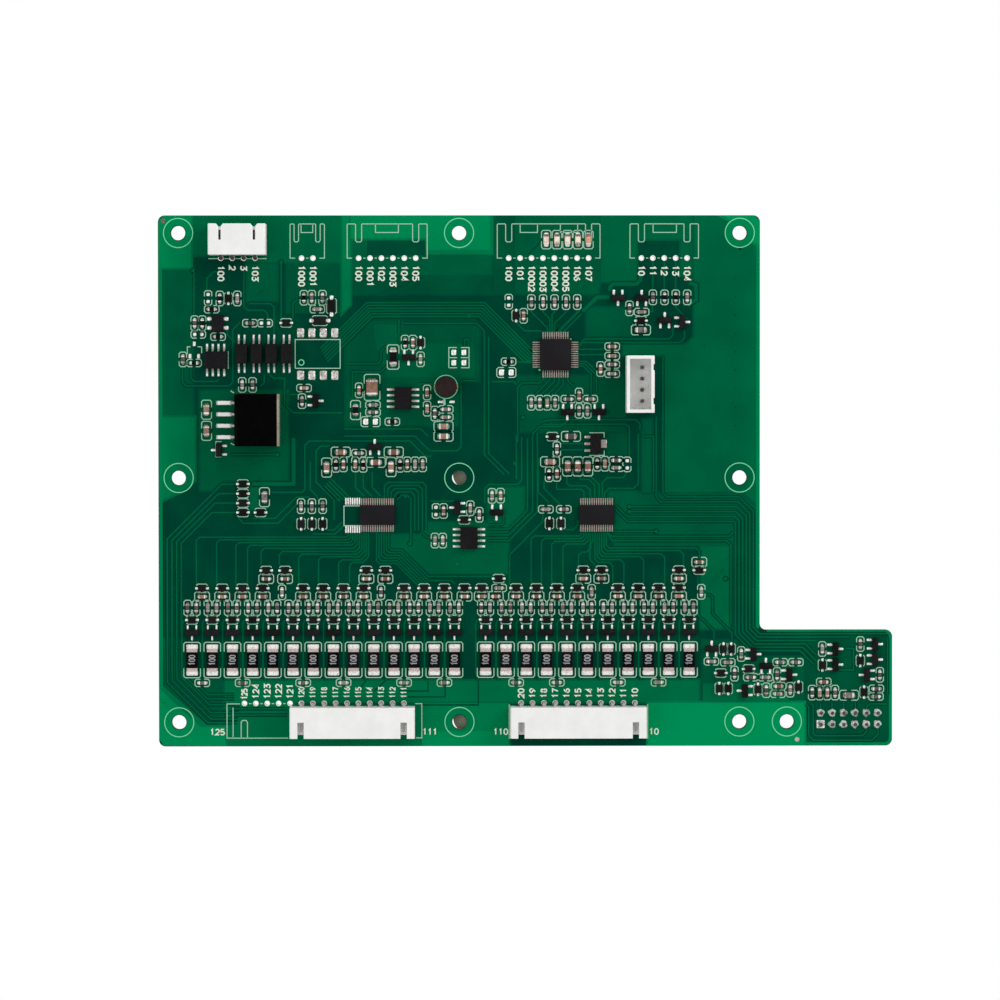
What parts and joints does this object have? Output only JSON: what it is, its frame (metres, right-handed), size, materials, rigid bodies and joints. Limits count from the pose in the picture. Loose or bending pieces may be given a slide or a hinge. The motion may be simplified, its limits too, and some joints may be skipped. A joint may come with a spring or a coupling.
{
  "type": "battery management board",
  "caption": "Green circuit board with cell balancing circuits, plug sockets along two edges, chips and a pin header at the back of its tab.",
  "frame": {"origin": "on the middle mounting hole's axis, at the board's underside", "axes": "+X towards the tab, +Y towards the edge with the 4-pin socket, +Z out of the component side"},
  "size_m": [0.1636, 0.1183, 0.0171],
  "materials": {
    "solder_mask": "satin",
    "white_nylon": "satin",
    "tinned_pin": "satin",
    "gold_pin": "satin",
    "black_epoxy": "matt",
    "black_case": "gloss",
    "potting_strip": "matt",
    "black_resistor": "satin",
    "tan_ceramic": "matt",
    "lamp_lens": "satin",
    "dark_ferrite": "matt",
    "copper_winding": "satin"
  },
  "bodies": {
    "root": {"circuit_board": "solder_mask", "upper_socket_housing": "white_nylon", "upper_socket_pins": "tinned_pin", "left_cell_socket_housing": "white_nylon", "left_cell_socket_pins": "tinned_pin", "right_cell_socket_housing": "white_nylon", "right_cell_socket_pins": "tinned_pin", "upright_socket_housing": "white_nylon", "upright_socket_pins": "tinned_pin", "back_header_body": "black_epoxy", "back_header_pins": "gold_pin", "balance_resistors": "black_resistor", "balance_transistor_bodies": "black_epoxy", "balance_transistor_leads": "tinned_pin", "gate_diodes": "black_epoxy", "gate_resistors": "black_resistor", "filter_diodes": "black_epoxy", "filter_capacitors": "tan_ceramic", "link_resistors": "black_resistor", "controller_body": "black_epoxy", "controller_leads": "tinned_pin", "monitor_bodies": "black_epoxy", "monitor_leads": "tinned_pin", "driver_bodies": "black_epoxy", "driver_leads": "tinned_pin", "isolator_bodies": "black_epoxy", "isolator_leads": "tinned_pin", "regulator_body": "black_epoxy", "regulator_leads": "tinned_pin", "supply_module_case": "black_case", "supply_module_end_strip": "potting_strip", "supply_module_leads": "tinned_pin", "coil_drum": "dark_ferrite", "coil_winding": "copper_winding", "coil_feet": "tinned_pin", "supply_resistors": "black_resistor", "driver_resistors": "black_resistor", "controller_resistors": "black_resistor", "monitor_resistors": "black_resistor", "tab_resistors": "black_resistor", "small_capacitors": "tan_ceramic", "signal_diodes": "black_epoxy", "tab_diodes": "black_epoxy", "supply_diode_bodies": "black_epoxy", "supply_diode_leads": "tinned_pin", "circuit_transistor_bodies": "black_epoxy", "circuit_transistor_leads": "tinned_pin", "tab_transistor_bodies": "black_epoxy", "tab_transistor_leads": "tinned_pin", "large_resistors": "black_resistor", "large_capacitors": "tan_ceramic", "shunt_resistor": "black_resistor", "bulk_capacitor": "tan_ceramic", "indicator_lamps": "lamp_lens"}
  },
  "joints": []
}
